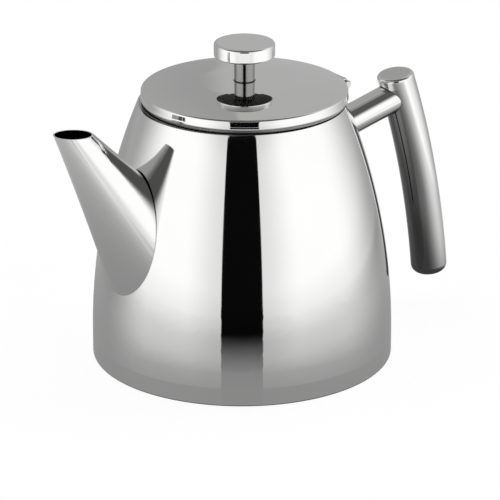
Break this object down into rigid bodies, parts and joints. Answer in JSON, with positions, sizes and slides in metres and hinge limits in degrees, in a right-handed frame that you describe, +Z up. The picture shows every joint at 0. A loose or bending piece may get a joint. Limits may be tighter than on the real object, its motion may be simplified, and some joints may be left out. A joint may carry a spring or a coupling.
{
  "type": "teapot infuser",
  "caption": "Polished stainless steel teapot with a straight tapering spout, side tube handle, hinged flat lid with a disc knob, and a drop-in slotted infuser basket.",
  "frame": {"origin": "centre of the base, on the surface the pot stands on", "axes": "+Z up, spout towards -X, handle and lid hinge on +X, Y across the pot"},
  "size_m": [0.2163, 0.14, 0.1498],
  "materials": {
    "polished_steel": "mirror-polished stainless steel",
    "turned_steel": "lathe-turned stainless steel",
    "inner_steel": "satin stainless steel"
  },
  "bodies": {
    "pot": {"outer_shell": "polished_steel", "inner_vessel": "inner_steel", "vessel_floor": "inner_steel", "spout_strainer": "inner_steel", "base_plate": "inner_steel", "rim_collar": "inner_steel", "spout_tube": "polished_steel", "spout_duct": "inner_steel", "handle_grip": "polished_steel", "handle_arm": "polished_steel", "handle_top_cap": "polished_steel", "handle_bottom_cap": "polished_steel", "arm_backing_plate": "inner_steel", "hinge_bracket": "inner_steel", "hinge_pin": "inner_steel"},
    "lid": {"lid_shell": "polished_steel", "lid_liner": "inner_steel", "lid_hinge_leaf": "inner_steel", "knob_stem": "turned_steel", "knob_disc": "polished_steel", "knob_screw": "inner_steel", "knob_washer": "inner_steel"},
    "infuser": {"infuser_rim": "inner_steel", "infuser_basket": "inner_steel", "infuser_base": "inner_steel"}
  },
  "joints": [
    {"name": "lid_hinge", "type": "hinge", "parent": "pot", "child": "lid", "pos_m": [0.052, 0, 0.123], "axis": [0, 1, 0], "range_deg": [0, 100]},
    {"name": "infuser_turn", "type": "hinge", "parent": "pot", "child": "infuser", "pos_m": [0, 0, 0.1195], "axis": [0, 0, 1], "continuous": true}
  ]
}
